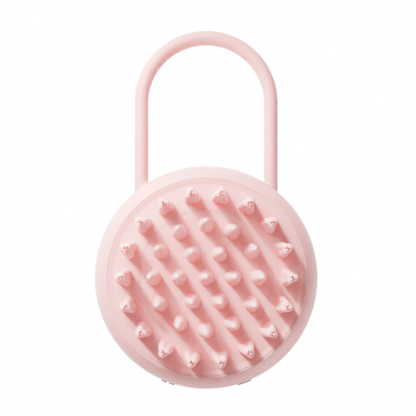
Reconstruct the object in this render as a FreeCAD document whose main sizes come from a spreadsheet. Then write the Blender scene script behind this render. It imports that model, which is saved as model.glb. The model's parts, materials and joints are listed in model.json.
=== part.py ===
import FreeCAD, Part
import math
import os
import re
import Sketcher

# Hand-held sonic cleansing brush. It lies on its flat back: +Z runs along the bristles, +Y towards the
# loop handle, and the origin is the centre of the flat back. Millimetres and degrees.

# Driving dimensions: name, size, meaning
SIZES = [
    ("body_radius", 43.0, "widest radius of the round body"),
    ("mid_height", 15.0, "height of the widest ring, also the rounding of the back edge"),
    ("rim_round", 15.0, "rounding of the front rim"),
    ("rim_width", 6.4, "rim as seen from the front, from the lip to the widest ring"),
    ("lip_fillet", 0.4, "rounded inner edge of the rim"),
    ("shell_wall", 2.2, "wall of the rear shell"),
    ("face_drop", 0.6, "bristle face below the lip"),
    ("pad_thickness", 2.1, "silicone under the bristles"),
    ("shelf_thickness", 1.8, "shelf that carries the bristle ring"),
    ("well_depth", 3.3, "well of the drive plate below the shelf"),
    ("bulkhead_thickness", 1.8, "floor of the well, above the motor"),
    ("collar_wall", 1.8, "wall of the well"),
    ("rim_land", 3.75, "width of the front shell's foot at the split"),
    ("spigot_depth", 1.8, "locating ring below the split"),
    ("spigot_play", 0.15, "play of the locating ring in the rear shell"),
    ("gasket_height", 0.9, "height of the perimeter gasket"),
    ("gasket_depth", 0.9, "depth of the gasket groove"),
    ("gasket_set", 0.45, "gasket below the split"),
    ("ring_gap", 0.25, "gap between the bristle ring and the lip"),
    ("band_width", 1.95, "sloping outer band of the bristle ring"),
    ("band_rise", 0.45, "rise of that band"),
    ("ring_width", 11.75, "bristle ring from its inner to its outer edge"),
    ("disc_gap", 0.3, "gap between the disc and the ring"),
    ("well_clearance", 0.75, "well wider than the disc"),
    ("bristle_length", 15.8, "bristles above the face"),
    ("cone_radius", 2.91, "cone bristle at its foot"),
    ("cone_tip", 0.65, "rounded tip of a cone bristle"),
    ("inner_row_shift", 0.31, "inner row of cones beyond halfway to the outer row"),
    ("outer_row_inset", 4.96, "outer row of cones from the disc's edge"),
    ("trefoil_setback", 0.35, "three-lobed bristles inside the middle of their ring"),
    ("trefoil_spread", 1.78, "lobe centres from the bristle's axis, at the foot"),
    ("trefoil_lobe", 1.64, "lobe radius at the foot"),
    ("trefoil_side", 2.3, "hollow side from the bristle's axis, at the foot"),
    ("trefoil_taper", 0.45, "share of the foot's section left at the top"),
    ("trefoil_lean", 1.25, "tip of a three-lobed bristle nearer the axis than its foot"),
    ("prong_length", 0.9, "rounded prong on each lobe"),
    ("prong_radius", 0.58, "radius of a prong"),
    ("bristle_root", 0.4, "bristle sunk into its pad"),
    ("loop_offset", 25.4, "leg of the loop from the middle plane, also the radius of its bow"),
    ("loop_bow", 68.4, "centre of the loop's bow from the body's axis"),
    ("loop_radius", 2.57, "radius of the loop's rod"),
    ("loop_drop", 1.5, "loop below the widest ring"),
    ("leg_depth", 9.0, "leg inside the body, from the widest ring"),
    ("leg_play", 0.06, "play of a leg in its saddle"),
    ("saddle_length", 6.0, "saddle under the end of a leg"),
    ("saddle_side", 0.9, "saddle wider than the leg on each side"),
    ("grommet_wall", 0.85, "wall of the grommet around a leg"),
    ("grommet_proud", 0.5, "grommet above the shell"),
    ("pin_radius", 1.0, "pin through a leg"),
    ("pin_sink", 4.0, "pin in the saddle below the leg"),
    ("pin_inset", 0.4, "pin below the top of the leg"),
    ("fit_play", 0.05, "radial play of pins and screws in their holes"),
    ("case_screw_count", 6, "screws that hold the two shells"),
    ("case_screw_angle", 30.0, "direction of the first of those screws"),
    ("boss_radius", 3.0, "boss of such a screw"),
    ("screw_radius", 1.25, "shank of such a screw"),
    ("screw_head_radius", 2.4, "head of such a screw"),
    ("screw_head_height", 1.2, "height of that head"),
    ("screw_head_sink", 0.2, "head below the shelf"),
    ("screw_length", 11.0, "shank of such a screw"),
    ("seal_radius", 4.6, "shaft seal"),
    ("shaft_radius", 1.5, "motor shaft"),
    ("shaft_play", 0.04, "running play of the shaft"),
    ("shaft_tail", 0.5, "shaft end above the bottom of the motor"),
    ("motor_radius", 9.0, "motor can"),
    ("motor_length", 12.0, "motor can"),
    ("motor_wall", 0.8, "sheet of the motor can"),
    ("motor_lid_thickness", 1.0, "lid of the motor can"),
    ("bush_radius", 2.6, "bushes of the motor shaft"),
    ("bush_length", 2.2, "bushes of the motor shaft"),
    ("coil_radius", 5.2, "bore of the stator coil"),
    ("coil_margin", 1.2, "coil from the lid and the floor of the can"),
    ("magnet_radius", 4.5, "magnet on the shaft"),
    ("magnet_margin", 1.0, "magnet shorter than the coil at each end"),
    ("sleeve_wall", 1.0, "rubber cup under the motor"),
    ("sleeve_height", 1.7, "grip of that cup on the can"),
    ("cradle_wall", 1.5, "cradle around the rubber cup"),
    ("cushion_height", 1.2, "rubber ring on top of the motor"),
    ("cushion_width", 3.5, "width of that ring"),
    ("plate_inset", 1.05, "drive plate inside the disc's edge"),
    ("plate_thickness", 1.8, "drive plate"),
    ("hub_radius", 4.0, "hub of the drive plate"),
    ("hub_height", 1.0, "hub below the drive plate"),
    ("hub_screw_radius", 0.75, "screw in the end of the shaft"),
    ("hub_screw_length", 4.5, "shank of that screw"),
    ("hub_head_radius", 2.0, "head of that screw"),
    ("hub_head_height", 0.9, "height of that head"),
    ("battery_height", 8.0, "cell along Z"),
    ("battery_clearance", 1.9, "far corners of the cell from the rear shell's wall"),
    ("battery_corner_angle", 57.3, "direction of those corners from the X axis"),
    ("battery_gap", 1.0, "cell from the motor's cradle"),
    ("battery_pad_thickness", 1.2, "foam pad under the cell"),
    ("battery_pad_inset", 3.5, "pad inside the cell's edge"),
    ("bracket_width", 5.0, "strap over the cell"),
    ("bracket_gap", 0.8, "strap from the cell's leads"),
    ("bracket_thickness", 1.2, "strap over the cell"),
    ("bracket_play", 0.2, "strap from the cell's ends"),
    ("bracket_foot", 4.6, "length of the strap's feet"),
    ("bracket_foot_height", 6.0, "underside of the strap's feet"),
    ("small_boss_radius", 2.2, "bosses of the board and the strap"),
    ("small_screw_radius", 0.9, "shank of the screws in them"),
    ("small_head_radius", 1.7, "head of those screws"),
    ("small_head_height", 1.0, "height of that head"),
    ("small_screw_length", 4.0, "shank of those screws below the board or the strap"),
    ("board_half_width", 23.0, "circuit board either side of the middle"),
    ("board_thickness", 1.2, "circuit board"),
    ("board_gap", 1.0, "board from the motor's cradle and from the rear shell"),
    ("board_drop", 2.8, "top of the board below the middle of the buttons"),
    ("board_screw_side", 17.0, "inner board screws from the middle"),
    ("board_screw_gap", 0.8, "bosses of those screws from the lead sockets"),
    ("board_outer_side", 8.0, "outer board screws from the middle"),
    ("board_outer_inset", 8.5, "outer board screws from the board's round edge"),
    ("boss_clearance", 0.5, "hole in the board around a shell boss"),
    ("chip_size", 6.0, "control chip"),
    ("chip_height", 1.0, "control chip"),
    ("chip_inset", 6.5, "control chip from the board's straight edge"),
    ("socket_width", 4.4, "lead sockets along X"),
    ("socket_length", 3.5, "lead sockets along Y"),
    ("socket_height", 3.8, "lead sockets below the board"),
    ("lead_radius", 0.5, "insulated lead"),
    ("lead_drop", 1.1, "leads below the board"),
    ("lead_pitch", 1.6, "from one lead to the next"),
    ("lead_bend", 1.5, "bend of the cell's leads"),
    ("lead_run", 0.8, "lead from the cell to its bend"),
    ("button_angle_power", 290.0, "direction of the power button"),
    ("button_angle_pair", 250.0, "direction of the pair of level buttons"),
    ("button_drop", 1.0, "buttons below the widest ring"),
    ("button_height", 3.8, "buttons along Z"),
    ("button_corner", 1.0, "rounded corners of the buttons"),
    ("button_proud", 0.5, "buttons above the shell"),
    ("button_play", 0.12, "play of a button in its window"),
    ("button_travel", 0.5, "travel of a button"),
    ("power_width", 5.8, "power button"),
    ("level_width", 2.4, "each level button"),
    ("level_pitch", 3.15, "from one level button to the other"),
    ("flange_thickness", 0.8, "flange behind each button"),
    ("flange_rise", 0.9, "flange above and below the button"),
    ("flange_side", 0.25, "flange beyond the sides of the button"),
    ("flange_clearance", 0.9, "flange inside the rear shell's wall"),
    ("switch_gap", 0.25, "switch from the flange of a pressed button"),
    ("switch_depth", 3.2, "switch along the button's travel"),
    ("switch_wall", 0.3, "switch wider than the level button on each side"),
    ("switch_rise", 1.8, "top of the switch above the middle of the button"),
    ("plunger_radius", 0.7, "plunger of a switch"),
    ("plunger_length", 2.2, "plunger of a switch"),
    ("plunger_play", 0.1, "play of a plunger in its switch"),
    ("charge_side", 3.3, "charging pins from the middle"),
    ("charge_radius", 1.5, "face of a charging pin"),
    ("charge_recess", 0.15, "face of a charging pin inside the back"),
    ("charge_stem", 0.8, "stem of a charging pin"),
    ("charge_flange", 1.9, "flange of a charging pin"),
    ("charge_flange_height", 0.8, "flange of a charging pin"),
    ("dock_magnet_side", 8.0, "docking magnets from the middle"),
    ("dock_magnet_radius", 2.5, "docking magnets"),
    ("dock_magnet_height", 2.0, "docking magnets"),
]

# Sizes and places that follow from them: name, formula
PLACES = [
    ("lip_radius", "body_radius - rim_width"),
    ("rim_centre", "body_radius - rim_round"),
    ("lip_height", "mid_height + sqrt(2 * rim_round * rim_width - rim_width ^ 2)"),
    ("fillet_radius", "lip_radius + lip_fillet"),
    ("fillet_height", "mid_height + sqrt((rim_round - lip_fillet) ^ 2 - (fillet_radius - rim_centre) ^ 2)"),
    ("touch_radius", "rim_centre + (fillet_radius - rim_centre) * rim_round / (rim_round - lip_fillet)"),
    ("touch_height", "mid_height + (fillet_height - mid_height) * rim_round / (rim_round - lip_fillet)"),
    ("face_height", "lip_height - face_drop"),
    ("tip_height", "face_height + bristle_length"),
    ("shelf_height", "face_height - pad_thickness"),
    ("well_floor", "shelf_height - well_depth"),
    ("split_height", "well_floor - bulkhead_thickness"),
    ("split_radius", "rim_centre + sqrt(rim_round ^ 2 - (split_height - mid_height) ^ 2)"),
    ("flat_radius", "body_radius - mid_height"),
    ("inner_radius", "body_radius - shell_wall"),
    ("spigot_radius", "inner_radius - spigot_play"),
    ("rim_inner", "split_radius - rim_land"),
    ("gasket_inner", "spigot_radius - gasket_depth"),
    ("ring_outer", "lip_radius - ring_gap"),
    ("ring_inner", "ring_outer - ring_width"),
    ("disc_radius", "ring_inner - disc_gap"),
    ("well_radius", "disc_radius + well_clearance"),
    ("collar_radius", "well_radius + collar_wall"),
    ("outer_row", "disc_radius - outer_row_inset"),
    ("inner_row", "outer_row / 2 + inner_row_shift"),
    ("trefoil_row", "(ring_inner + ring_outer) / 2 - trefoil_setback"),
    ("hollow_round", "(trefoil_side ^ 2 + trefoil_spread ^ 2 - trefoil_spread * trefoil_side"
                     " - trefoil_lobe ^ 2) / (2 * trefoil_lobe + trefoil_spread - 2 * trefoil_side)"),
    ("hollow_centre", "hollow_round + trefoil_side"),
    ("case_screw_row", "(collar_radius + rim_inner) / 2"),
    ("head_seat", "shelf_height - screw_head_sink - screw_head_height"),
    ("loop_height", "mid_height - loop_drop"),
    ("leg_entry", "sqrt(body_radius ^ 2 - loop_offset ^ 2)"),
    ("leg_end", "leg_entry - leg_depth"),
    ("pin_row", "leg_end + saddle_length / 2"),
    ("pin_bottom", "loop_height - loop_radius - pin_sink"),
    ("pin_top", "loop_height + loop_radius - pin_inset"),
    ("motor_top", "split_height - cushion_height"),
    ("motor_bottom", "motor_top - motor_length"),
    ("motor_bore", "motor_radius - motor_wall"),
    ("cup_bottom", "motor_bottom - sleeve_wall"),
    ("cup_top", "motor_bottom + sleeve_height"),
    ("cup_radius", "motor_radius + sleeve_wall"),
    ("cradle_radius", "cup_radius + cradle_wall"),
    ("coil_bottom", "motor_bottom + motor_wall + coil_margin"),
    ("coil_top", "motor_top - motor_lid_thickness - coil_margin"),
    ("plate_bottom", "shelf_height - plate_thickness"),
    ("hub_bottom", "plate_bottom - hub_height"),
    ("hub_seat", "shelf_height - hub_head_height"),
    ("charge_row", "(cradle_radius + flat_radius) / 2"),
    ("battery_bottom", "shell_wall + battery_pad_thickness"),
    ("battery_top", "battery_bottom + battery_height"),
    ("battery_corner", "flat_radius + sqrt((mid_height - shell_wall) ^ 2"
                       " - (mid_height - battery_bottom) ^ 2) - battery_clearance"),
    ("battery_half", "battery_corner * cos(battery_corner_angle * 1 deg)"),
    ("battery_far", "battery_corner * sin(battery_corner_angle * 1 deg)"),
    ("battery_near", "cradle_radius + battery_gap"),
    ("strap_near", "battery_near + 2 * lead_pitch + bracket_gap"),
    ("strap_middle", "strap_near + bracket_width / 2"),
    ("strap_inside", "battery_half + bracket_play"),
    ("strap_outside", "strap_inside + bracket_thickness"),
    ("strap_screw", "strap_outside + bracket_foot / 2"),
    ("button_middle", "mid_height - button_drop"),
    ("board_top", "button_middle - board_drop"),
    ("board_bottom", "board_top - board_thickness"),
    ("board_near", "cradle_radius + board_gap"),
    ("board_radius", "flat_radius + sqrt((mid_height - shell_wall) ^ 2"
                     " - (mid_height - board_bottom) ^ 2) - board_gap"),
    ("board_corner", "sqrt(board_radius ^ 2 - board_half_width ^ 2)"),
    ("board_screw_row", "board_near + socket_length + small_boss_radius + board_screw_gap"),
    ("board_outer_row", "board_radius - board_outer_inset"),
    ("chip_row", "board_near + chip_inset"),
    ("socket_bottom", "board_bottom - socket_height"),
    ("lead_height", "board_bottom - lead_drop"),
    ("battery_lead_side", "battery_half + lead_run + lead_bend"),
    ("flange_outside", "inner_radius - flange_clearance"),
    ("flange_inside", "flange_outside - flange_thickness"),
    ("switch_front", "flange_inside - button_travel - switch_gap"),
    ("switch_back", "switch_front - switch_depth"),
    ("plunger_end", "flange_inside - plunger_length"),
]

# Bristles in the outer ring and in the two rows of the disc
TREFOIL_COUNT = 18
INNER_CONES = 6
OUTER_CONES = 12

doc = FreeCAD.newDocument("cleansing_brush")
sizes = doc.addObject("Spreadsheet::Sheet", "Sizes")
places = doc.addObject("Spreadsheet::Sheet", "Places")
SHEET_OF = {name: "Sizes" for name, size, meaning in SIZES}
SHEET_OF.update({name: "Places" for name, text in PLACES})
NODES = []


def formula(text):
    """Expression with each size's name led by the name of its sheet."""
    def named(match):
        word = match.group(0)
        return f"{SHEET_OF[word]}.{word}" if word in SHEET_OF else word
    return re.sub(r"[a-z_]+", named, text)


for row, (name, size, meaning) in enumerate(SIZES, start=1):
    sizes.set(f"A{row}", meaning)
    sizes.set(f"B{row}", str(size))
    sizes.setAlias(f"B{row}", name)
doc.recompute()
for row, (name, text) in enumerate(PLACES, start=1):
    places.set(f"A{row}", name.replace("_", " "))
    places.setAlias(f"B{row}", name)
    own = formula(text).replace("Places.", "")
    places.set(f"B{row}", "=" + own)
doc.recompute()


def value(text):
    return float(sizes.evalExpression(formula(text)))


def bind(item, prop, text):
    item.setExpression(prop, formula(text))


def polar(radius, angle):
    """X and Y of a point at a radius and an angle in degrees."""
    return f"({radius}) * cos(({angle}) * 1 deg)", f"({radius}) * sin(({angle}) * 1 deg)"


def node(item, label):
    """Names a finished sub-part."""
    item.Label = label
    NODES.append(item)
    return item


# Sketches and bodies

def plane(body, role):
    return next(feature for feature in body.Origin.OriginFeatures if feature.Role == role)


def new_sketch(body, role, name, offset="0"):
    sketch = body.newObject("Sketcher::SketchObject", name)
    sketch.AttachmentSupport = [(plane(body, role), "")]
    sketch.MapMode = "FlatFace"
    bind(sketch, "AttachmentOffset.Base.z", offset)
    return sketch


def hold(sketch, geometry, point, place, axes="XY"):
    """Ties a point of the sketch to the sizes, along the axes named."""
    for axis, line, text in (("X", -2, place[0]), ("Y", -1, place[1])):
        if axis not in axes:
            continue
        if text == "0":
            sketch.addConstraint(Sketcher.Constraint("PointOnObject", geometry, point, line))
            continue
        held = Sketcher.Constraint("Distance" + axis, -1, 1, geometry, point, value(text))
        number = sketch.addConstraint(held)
        bind(sketch, f"Constraints[{number}]", text)


def outline(sketch, corners, centres=None):
    """Closed outline through the corners. centres gives, by a corner's number, the centre of the arc
    that leaves that corner for the next."""
    centres = centres or {}
    first = sketch.GeometryCount
    points = [FreeCAD.Vector(value(x), value(y), 0) for x, y in corners]
    ends = []
    for number, start in enumerate(points):
        end = points[(number + 1) % len(points)]
        if number not in centres:
            sketch.addGeometry(Part.LineSegment(start, end), False)
            ends.append((1, 2))
            continue
        centre = FreeCAD.Vector(value(centres[number][0]), value(centres[number][1]), 0)
        angles = [math.atan2(p.y - centre.y, p.x - centre.x) for p in (start, end)]
        forward = (angles[1] - angles[0]) % (2 * math.pi) < math.pi
        low, high = angles if forward else reversed(angles)
        circle = Part.Circle(centre, FreeCAD.Vector(0, 0, 1), (start - centre).Length)
        sketch.addGeometry(Part.ArcOfCircle(circle, low, high), False)
        ends.append((1, 2) if forward else (2, 1))
    for number, corner in enumerate(corners):
        before = (number - 1) % len(corners)
        joined = (first + before, ends[before][1], first + number, ends[number][0])
        sketch.addConstraint(Sketcher.Constraint("Coincident", *joined))
        hold(sketch, first + number, ends[number][0], corner)
    for number, centre in centres.items():
        chord = points[(number + 1) % len(points)] - points[number]
        hold(sketch, first + number, 3, centre, "Y" if abs(chord.x) > abs(chord.y) else "X")


def turned(name, corners, centres=None):
    """Body of revolution about the Z axis, from corners given as radius and height."""
    body = doc.addObject("PartDesign::Body", name)
    sketch = new_sketch(body, "XZ_Plane", name + "_profile")
    outline(sketch, corners, centres)
    turn = body.newObject("PartDesign::Revolution", name + "_turn")
    turn.Profile = sketch
    turn.ReferenceAxis = (sketch, ["V_Axis"])
    turn.Angle = 360
    return body


def ring(name, inner, outer, bottom, top):
    """Plain ring about the Z axis."""
    return turned(name, [(inner, bottom), (outer, bottom), (outer, top), (inner, top)])


def padded(name, role, corners, start, length, centres=None):
    """Body of one pad, from a plane's offset along its normal."""
    body = doc.addObject("PartDesign::Body", name)
    sketch = new_sketch(body, role, name + "_outline", start)
    outline(sketch, corners, centres)
    pad = body.newObject("PartDesign::Pad", name + "_pad")
    pad.Profile = sketch
    bind(pad, "Length", length)
    return body


def repeat_round(body, feature, count):
    """Repeats a feature about the Z axis."""
    pattern = body.newObject("PartDesign::PolarPattern", feature.Name + "_row")
    pattern.Originals = [feature]
    pattern.Axis = (plane(body, "Z_Axis"), [""])
    pattern.Angle = 360
    pattern.Occurrences = count
    body.Tip = pattern
    doc.recompute()


# Solids and their combinations

def put(item, place):
    for axis, text in zip("xyz", place):
        if text != "0":
            bind(item, f"Placement.Base.{axis}", text)
    return item


AXES = {"X": FreeCAD.Vector(1, 0, 0), "Y": FreeCAD.Vector(0, 1, 0), "Z": FreeCAD.Vector(0, 0, 1)}


def cylinder(name, radius, length, place=("0", "0", "0"), along="Z"):
    item = doc.addObject("Part::Cylinder", name)
    item.Placement = FreeCAD.Placement(FreeCAD.Vector(), FreeCAD.Rotation(AXES["Z"], AXES[along]))
    bind(item, "Radius", radius)
    bind(item, "Height", length)
    return put(item, place)


def block(name, low, high):
    """Box between two corners."""
    item = doc.addObject("Part::Box", name)
    for prop, start, end in zip(("Length", "Width", "Height"), low, high):
        bind(item, prop, f"({end}) - ({start})")
    return put(item, low)


def fused(name, items):
    item = doc.addObject("Part::MultiFuse", name)
    item.Shapes = items
    item.Refine = True
    return item


def cut(name, base, tools):
    """Base less the tools, which don't overlap each other."""
    tool = tools[0]
    if len(tools) > 1:
        tool = doc.addObject("Part::Compound", name + "_tools")
        tool.Links = tools
    item = doc.addObject("Part::Cut", name)
    item.Base = base
    item.Tool = tool
    return item


def shared(name, first, second):
    item = doc.addObject("Part::Common", name)
    item.Base = first
    item.Tool = second
    return item


def group(name, items):
    item = doc.addObject("Part::Compound", name)
    item.Links = items
    return item


def faced(item, angle):
    """Turns a piece made facing +X about the body's axis."""
    item.Placement = FreeCAD.Placement(FreeCAD.Vector(), FreeCAD.Rotation(AXES["Z"], value(angle)))
    bind(item, "Placement.Rotation.Angle", f"({angle}) * 1 deg")
    return item


def screw(name, place, seat, radius, length, head_radius, head_height):
    """Screw along Z, its head standing on the seat."""
    x, y = place
    shank = cylinder(name + "_shank", radius, f"({length}) + ({head_height}) / 2",
                     (x, y, f"({seat}) - ({length})"))
    head = cylinder(name + "_head", head_radius, head_height, (x, y, seat))
    return fused(name, [shank, head])


# Round forms of the two shells

def body_form(name, grow="0"):
    """Outside of the rear shell up to the split, grown all over by a distance."""
    corners = [("0", f"-({grow})"),
               ("flat_radius", f"-({grow})"),
               (f"body_radius + ({grow})", "mid_height"),
               (f"split_radius + ({grow})", "split_height"),
               ("0", "split_height")]
    if grow == "0":
        corners[0] = ("0", "0")
        corners[1] = ("flat_radius", "0")
    return turned(name, corners, {1: ("flat_radius", "mid_height"), 2: (RIM_CENTRE[grow], "mid_height")})


# Centre of the arc from the widest ring to the split, for the plain form and for the grown ones
RIM_CENTRE = {"0": "rim_centre"}
for amount in ("grommet_proud", "button_proud"):
    RIM_CENTRE[amount] = (f"((split_radius + {amount}) ^ 2 - (body_radius + {amount}) ^ 2"
                          " + (split_height - mid_height) ^ 2)"
                          " / (2 * (split_radius - body_radius))")

case_screw_places = [polar("case_screw_row", f"case_screw_angle + {k} * 360 / case_screw_count")
                     for k in range(int(value("case_screw_count")))]
legs = [("left", "-loop_offset"), ("right", "loop_offset")]
board_screw_places = [("-board_screw_side", "-board_screw_row"), ("board_screw_side", "-board_screw_row"),
                      ("-board_outer_side", "-board_outer_row"), ("board_outer_side", "-board_outer_row")]
strap_screw_places = [("-strap_screw", "strap_middle"), ("strap_screw", "strap_middle")]
charge_places = [("-charge_side", "-charge_row"), ("charge_side", "-charge_row")]
BUTTONS = [("power", "button_angle_power", "0", "power_width"),
           ("plus", "button_angle_pair", "level_pitch / 2", "level_width"),
           ("minus", "button_angle_pair", "-level_pitch / 2", "level_width")]


def rounded_bar(name, side, width, grow, start, end):
    """Bar along +X with rounded corners, as wide as a button and a play more on each side."""
    across = f"(({width}) / 2 + {grow})"
    rise = f"(button_height / 2 + {grow})"
    corner = f"(button_corner + {grow})"
    right, left = f"({side}) + {across}", f"({side}) - {across}"
    top, low = f"button_middle + {rise}", f"button_middle - {rise}"
    corners = [(right, f"{low} + {corner}"), (right, f"{top} - {corner}"),
               (f"{right} - {corner}", top), (f"{left} + {corner}", top),
               (left, f"{top} - {corner}"), (left, f"{low} + {corner}"),
               (f"{left} + {corner}", low), (f"{right} - {corner}", low)]
    centres = {1: (f"{right} - {corner}", f"{top} - {corner}"),
               3: (f"{left} + {corner}", f"{top} - {corner}"),
               5: (f"{left} + {corner}", f"{low} + {corner}"),
               7: (f"{right} - {corner}", f"{low} + {corner}")}
    return padded(name, "YZ_Plane", corners, start, f"({end}) - ({start})", centres)


def make_rear_shell():
    """Cup with the bosses, the motor's cradle, the saddles and the windows of the buttons."""
    hollow = turned("rear_hollow", [("0", "shell_wall"), ("flat_radius", "shell_wall"),
                                    ("inner_radius", "mid_height"), ("inner_radius", "split_height"),
                                    ("0", "split_height")],
                    {1: ("flat_radius", "mid_height")})
    posts = [cylinder("case_boss", "boss_radius", "split_height", (x, y, "0")) for x, y in case_screw_places]
    posts += [cylinder("board_boss", "small_boss_radius", "board_bottom", (x, y, "0"))
              for x, y in board_screw_places]
    posts += [cylinder("strap_boss", "small_boss_radius", "bracket_foot_height", (x, y, "0"))
              for x, y in strap_screw_places]
    posts.append(cylinder("cradle_post", "cradle_radius", "cup_top"))
    for side, x in legs:
        posts.append(block("saddle_" + side, (f"{x} - loop_radius - saddle_side", "leg_end", "0"),
                           (f"{x} + loop_radius + saddle_side", "leg_end + saddle_length", "loop_height")))
    hollow = cut("rear_hollow_with_posts", hollow, posts)
    shell = cut("rear_cup", body_form("rear_form"), [hollow])
    bores = [cylinder("cradle_bore", "cup_radius", "split_height - cup_bottom", ("0", "0", "cup_bottom"))]
    bores += [cylinder("case_screw_hole", "screw_radius + fit_play", "split_height",
                       (x, y, "head_seat - screw_length - fit_play")) for x, y in case_screw_places]
    bores += [cylinder("board_screw_hole", "small_screw_radius + fit_play", "board_bottom",
                       (x, y, "board_bottom - small_screw_length - fit_play")) for x, y in board_screw_places]
    bores += [cylinder("strap_screw_hole", "small_screw_radius + fit_play", "bracket_foot_height",
                       (x, y, "bracket_foot_height - small_screw_length + bracket_thickness - fit_play"))
              for x, y in strap_screw_places]
    bores += [cylinder("charge_hole", "charge_radius + fit_play", "shell_wall", (x, y, "0"))
              for x, y in charge_places]
    for side, x in legs:
        leg = cylinder("leg_bore_" + side, "loop_radius + leg_play", "body_radius",
                       (x, "leg_end", "loop_height"), "Y")
        lined = cylinder("grommet_bore_" + side, "loop_radius + grommet_wall", "body_radius",
                         (x, "leg_end + saddle_length", "loop_height"), "Y")
        pin = cylinder("pin_bore_" + side, "pin_radius + fit_play", "pin_sink + loop_radius",
                       (x, "pin_row", "pin_bottom"))
        bores.append(fused("leg_bores_" + side, [leg, lined, pin]))
    for name, angle, side, width in BUTTONS:
        window = rounded_bar(name + "_window", side, width, "button_play", "flange_outside",
                             "body_radius + shell_wall")
        bores.append(faced(window, angle))
    return node(cut("rear_shell", shell, bores), "rear_shell")


def make_front_shell():
    """Rim, shelf and well in one turned piece, with a sleeve for each case screw."""
    turned_shell = turned("front_round", [
        ("seal_radius", "split_height"), ("seal_radius", "well_floor"), ("well_radius", "well_floor"),
        ("well_radius", "shelf_height"), ("lip_radius", "shelf_height"), ("lip_radius", "fillet_height"),
        ("touch_radius", "touch_height"), ("split_radius", "split_height"), ("spigot_radius", "split_height"),
        ("spigot_radius", "split_height - gasket_set"), ("gasket_inner", "split_height - gasket_set"),
        ("gasket_inner", "split_height - gasket_set - gasket_height"),
        ("spigot_radius", "split_height - gasket_set - gasket_height"),
        ("spigot_radius", "split_height - spigot_depth"), ("rim_inner", "split_height - spigot_depth"),
        ("rim_inner", "shelf_height - shelf_thickness"), ("collar_radius", "shelf_height - shelf_thickness"),
        ("collar_radius", "split_height")],
        {5: ("fillet_radius", "fillet_height"), 6: ("rim_centre", "mid_height")})
    sleeves = [cylinder("case_sleeve", "boss_radius", "head_seat - split_height", (x, y, "split_height"))
               for x, y in case_screw_places]
    shell = fused("front_with_sleeves", [turned_shell] + sleeves)
    bores = []
    for x, y in case_screw_places:
        hole = cylinder("sleeve_hole", "screw_radius + fit_play", "shelf_height - split_height",
                        (x, y, "split_height"))
        sink = cylinder("head_sink", "screw_head_radius + fit_play", "shelf_height - head_seat",
                        (x, y, "head_seat"))
        bores.append(fused("case_screw_bore", [hole, sink]))
    return node(cut("front_shell", shell, bores), "front_shell")


def trefoil_section(row, share):
    """Corners and arc centres of three round lobes with hollow sides between them, one lobe outwards,
    at a radius on the ring and a share of the foot's size."""
    corners, centres = [], {}
    for number in range(3):
        lobe = polar(f"{share} * trefoil_spread", f"{number} * 120")
        centres[2 * number] = (f"{row} + {lobe[0]}", lobe[1] if number else "0")
        for turn in (-60, 60):
            hollow = polar(f"{share} * hollow_centre", f"{number * 120 + turn}")
            joint = [f"{a} + ({b} - {a}) * trefoil_lobe / (trefoil_lobe + hollow_round)"
                     for a, b in zip(lobe, hollow)]
            corners.append((f"{row} + {joint[0]}", joint[1]))
        centres[2 * number + 1] = (f"{row} + {hollow[0]}", "0" if number == 1 else hollow[1])
    return corners, centres


def make_bristle_ring():
    """Fixed silicone ring with its row of leaning three-lobed bristles."""
    body = turned("bristle_ring", [("ring_inner", "shelf_height"), ("ring_outer", "shelf_height"),
                                   ("ring_outer", "face_height + band_rise"),
                                   ("ring_outer - band_width", "face_height"), ("ring_inner", "face_height")])
    top = "tip_height - prong_length"
    sections = []
    for name, share, row, height in (
            ("foot", "1", "trefoil_row", "face_height - bristle_root"),
            ("top", "trefoil_taper", "trefoil_row - trefoil_lean", top)):
        sketch = new_sketch(body, "XY_Plane", "trefoil_" + name, height)
        outline(sketch, *trefoil_section(row, share))
        sections.append(sketch)
    loft = body.newObject("PartDesign::AdditiveLoft", "trefoil")
    loft.Profile = sections[0]
    loft.Sections = [sections[1]]
    loft.Ruled = True
    doc.recompute()
    repeat_round(body, loft, TREFOIL_COUNT)
    for number in range(3):
        prong = body.newObject("PartDesign::AdditiveEllipsoid", f"prong_{number + 1}")
        x, y = polar("trefoil_taper * trefoil_spread", f"{number} * 120")
        prong.AttachmentSupport = [(plane(body, "XY_Plane"), "")]
        prong.MapMode = "FlatFace"
        bind(prong, "Radius1", "prong_length")
        bind(prong, "Radius2", "prong_radius")
        bind(prong, "Radius3", "prong_radius")
        bind(prong, "AttachmentOffset.Base.x", f"trefoil_row - trefoil_lean + {x}")
        bind(prong, "AttachmentOffset.Base.y", y)
        bind(prong, "AttachmentOffset.Base.z", top)
        doc.recompute()
        repeat_round(body, prong, TREFOIL_COUNT)
    return node(body, "bristle_ring")


def cone_profile(sketch, row):
    """Half of a cone bristle with a rounded tip, standing at a radius on the disc."""
    slope = "atan((cone_radius - cone_tip) / (bristle_length - cone_tip))"
    touch = (f"{row} + cone_tip * cos({slope})", f"tip_height - cone_tip + cone_tip * sin({slope})")
    corners = [(row, "face_height - bristle_root"),
               (f"{row} + cone_radius", "face_height - bristle_root"),
               (f"{row} + cone_radius", "face_height"), touch, (row, "tip_height")]
    outline(sketch, corners, {3: (row, "tip_height - cone_tip")})


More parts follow.
